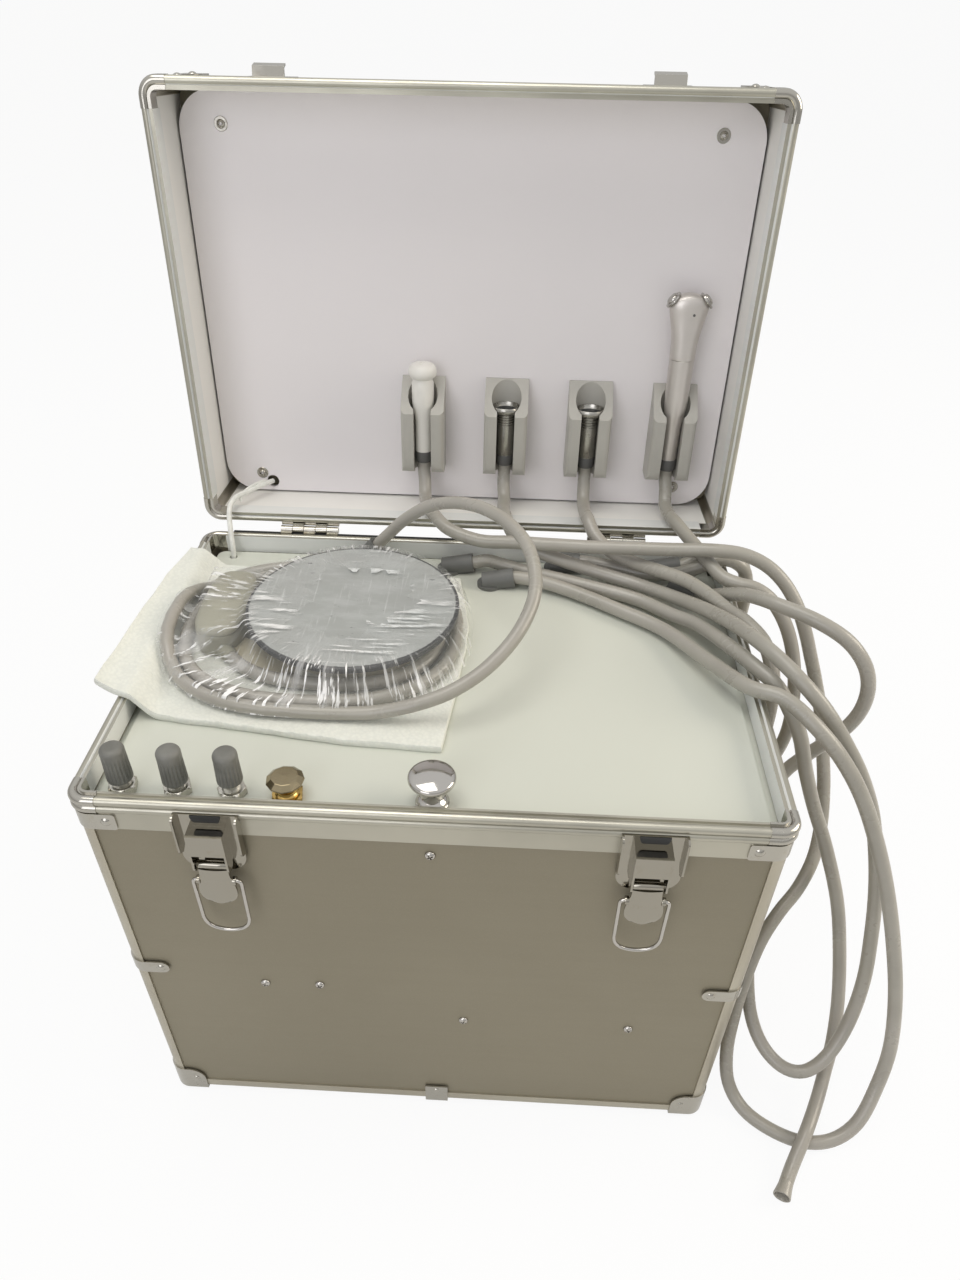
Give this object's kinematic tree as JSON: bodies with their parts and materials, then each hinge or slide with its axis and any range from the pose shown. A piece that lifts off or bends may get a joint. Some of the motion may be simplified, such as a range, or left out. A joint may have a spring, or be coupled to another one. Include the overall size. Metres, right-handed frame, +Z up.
{
  "type": "portable dental treatment unit",
  "caption": "Portable dental unit in a flight case: hinged lid with handpiece holders, deck with valves and switch, coiled foot control and silicone hoses.",
  "frame": {"origin": "centre of the unit without its free hoses, on the floor", "axes": "+X to the right seen from the front, +Y from the front latches to the rear hinge, +Z up"},
  "size_m": [0.557, 0.4543, 0.6334],
  "materials": {
    "case_laminate": "brushed champagne laminate skin",
    "lid_liner": "white laminate",
    "profiles": "satin anodised",
    "fittings": "bright plated pressed steel",
    "rubber": "black rubber",
    "deck_white": "glossy white sheet",
    "gland_plastic": "dark moulded plastic",
    "plated_parts": "bright plated",
    "knob_grey": "grey moulded plastic",
    "switch_metal": "bronze plated brass",
    "foam": "white expanded polyethylene sheet",
    "pedal_base": "beige moulded plastic",
    "pedal_plate": "scuffed blue-grey metal plate",
    "spring_steel": "plain steel wire",
    "hose_grey": "smooth grey silicone",
    "cord_white": "white braided cord",
    "inlet_black": "black moulded plastic",
    "motor_grey": "painted casting",
    "tank_paint": "painted steel",
    "bottle_clear": "translucent plastic",
    "manifold_alloy": "machined block",
    "handle_black": "black moulded grip",
    "holder_grey": "grey moulded plastic",
    "ejector_white": "white moulded plastic",
    "connector_steel": "turned steel",
    "syringe_metal": "satin metal",
    "button_grey": "light moulded plastic"
  },
  "bodies": {
    "case": {"body_front_panel": "case_laminate", "body_rear_panel": "case_laminate", "body_side_panels": "case_laminate", "body_base_panel": "case_laminate", "body_rim": "profiles", "body_edge_profiles": "profiles", "deck_rails": "profiles", "body_rim_corners": "fittings", "body_corner_fittings": "fittings", "latch_left_base": "fittings", "latch_right_base": "fittings", "hinge_body_leaves": "fittings", "rubber_feet": "rubber", "deck_panel": "deck_white", "hose_glands": "gland_plastic", "valve_bodies": "plated_parts", "pull_knob": "plated_parts", "switch_bushing": "switch_metal", "foam_sheet": "foam", "foot_base": "pedal_base", "foot_side_box": "pedal_base", "foot_spring": "spring_steel", "foot_hose_coil": "hose_grey", "foot_hose_loop": "hose_grey", "suction_hose": "hose_grey", "connector_hose_1": "hose_grey", "connector_hose_2": "hose_grey", "syringe_hose": "hose_grey", "spare_hose": "hose_grey", "lid_cord": "cord_white", "power_inlet": "inlet_black", "compressor": "motor_grey", "air_tank": "tank_paint", "bottles": "bottle_clear", "manifold": "manifold_alloy"},
    "lid": {"lid_top_panel": "case_laminate", "lid_wall_panels": "lid_liner", "lid_rim": "profiles", "lid_edge_profiles": "profiles", "lid_corner_fittings": "fittings", "lid_inner_panel": "lid_liner", "lid_catches": "fittings", "handle_bracket": "fittings", "tool_holders": "holder_grey", "suction_tool": "ejector_white", "tool_connectors": "connector_steel", "syringe_body": "syringe_metal", "hinge_lid_leaves": "fittings"},
    "left_lever": {"latch_left_lever": "fittings"},
    "left_bail": {"latch_left_bail": "fittings"},
    "right_lever": {"latch_right_lever": "fittings"},
    "right_bail": {"latch_right_bail": "fittings"},
    "grip": {"handle_grip": "handle_black"},
    "left_knob": {"knob_1": "knob_grey"},
    "middle_knob": {"knob_2": "knob_grey"},
    "right_knob": {"knob_3": "knob_grey"},
    "switch_cap": {"switch_button": "switch_metal"},
    "pedal": {"foot_plate": "pedal_plate"},
    "air_key": {"air_button": "button_grey"},
    "water_key": {"water_button": "button_grey"}
  },
  "joints": [
    {"name": "lid_hinge", "type": "hinge", "parent": "case", "child": "lid", "pos_m": [0.00605, 0.10898, 0.3285], "axis": [-1, 0, 0], "range_deg": [-95, 0], "deforming": ["suction_hose", "connector_hose_1", "connector_hose_2", "syringe_hose", "spare_hose", "foot_hose_loop", "lid_cord", "foam_sheet"]},
    {"name": "left_lever_pivot", "type": "hinge", "parent": "case", "child": "left_lever", "pos_m": [-0.11895, -0.19822, 0.286], "axis": [-1, 0, 0], "range_deg": [0, 100]},
    {"name": "left_bail_pivot", "type": "hinge", "parent": "left_lever", "child": "left_bail", "pos_m": [-0.11895, -0.19822, 0.272], "axis": [-1, 0, 0], "range_deg": [0, 90]},
    {"name": "right_lever_pivot", "type": "hinge", "parent": "case", "child": "right_lever", "pos_m": [0.13105, -0.19822, 0.286], "axis": [-1, 0, 0], "range_deg": [0, 100]},
    {"name": "right_bail_pivot", "type": "hinge", "parent": "right_lever", "child": "right_bail", "pos_m": [0.13105, -0.19822, 0.272], "axis": [-1, 0, 0], "range_deg": [0, 90]},
    {"name": "grip_pivot", "type": "hinge", "parent": "lid", "child": "grip", "pos_m": [0.00605, 0.19634, 0.47444], "axis": [1, 0, 0], "range_deg": [0, 90]},
    {"name": "left_knob_turn", "type": "hinge", "parent": "case", "child": "left_knob", "pos_m": [-0.17395, -0.16902, 0.335], "axis": [0, 0, 1], "range_deg": [0, 270]},
    {"name": "middle_knob_turn", "type": "hinge", "parent": "case", "child": "middle_knob", "pos_m": [-0.14195, -0.16902, 0.335], "axis": [0, 0, 1], "range_deg": [0, 270]},
    {"name": "right_knob_turn", "type": "hinge", "parent": "case", "child": "right_knob", "pos_m": [-0.10995, -0.16902, 0.335], "axis": [0, 0, 1], "range_deg": [0, 270]},
    {"name": "switch_press", "type": "slide", "parent": "case", "child": "switch_cap", "axis": [0, 0, -1], "range_m": [0, 0.004], "stiffness_N_per_m": 900, "springref_m": -0.003},
    {"name": "pedal_press", "type": "slide", "parent": "case", "child": "pedal", "axis": [0, 0, -1], "range_m": [0, 0.004], "stiffness_N_per_m": 6000, "springref_m": -0.004, "deforming": ["foot_spring"]},
    {"name": "air_key_press", "type": "slide", "parent": "lid", "child": "air_key", "axis": [0.766, -0.056, -0.6403], "range_m": [0, 0.002], "stiffness_N_per_m": 600, "springref_m": -0.002},
    {"name": "water_key_press", "type": "slide", "parent": "lid", "child": "water_key", "axis": [-0.766, -0.056, -0.6403], "range_m": [0, 0.002], "stiffness_N_per_m": 600, "springref_m": -0.002}
  ]
}
